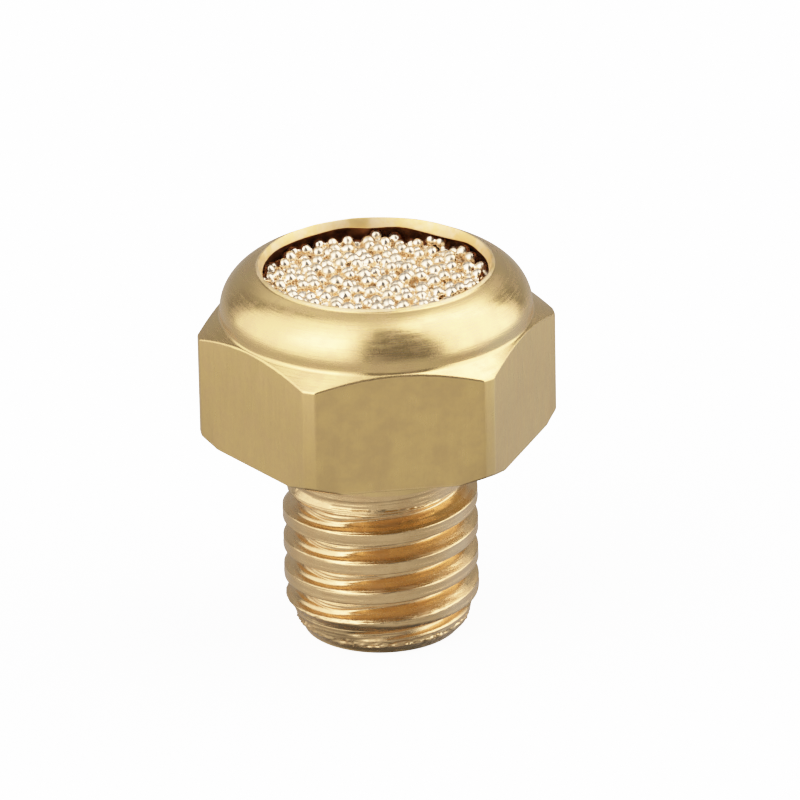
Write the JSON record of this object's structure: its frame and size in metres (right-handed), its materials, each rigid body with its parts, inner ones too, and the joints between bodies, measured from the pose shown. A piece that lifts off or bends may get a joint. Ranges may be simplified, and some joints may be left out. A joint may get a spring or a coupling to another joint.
{
  "type": "pneumatic muffler",
  "caption": "Short threaded exhaust muffler: hexagon brass body with a rolled rim around a porous sintered bronze disc.",
  "frame": {"origin": "centre of the hexagon's seating face, on the axis of the M5 thread", "axes": "+Z along the thread's axis, out of the port towards the sintered disc; one flat of the hexagon faces -Y and the opposite one +Y"},
  "size_m": [0.009, 0.0078, 0.0097],
  "materials": {
    "brass": "satin, as turned from drawn bar",
    "sintered_bronze": "glossy fused bronze balls"
  },
  "bodies": {
    "root": {"body": "brass", "sintered_element": "sintered_bronze"}
  },
  "joints": []
}
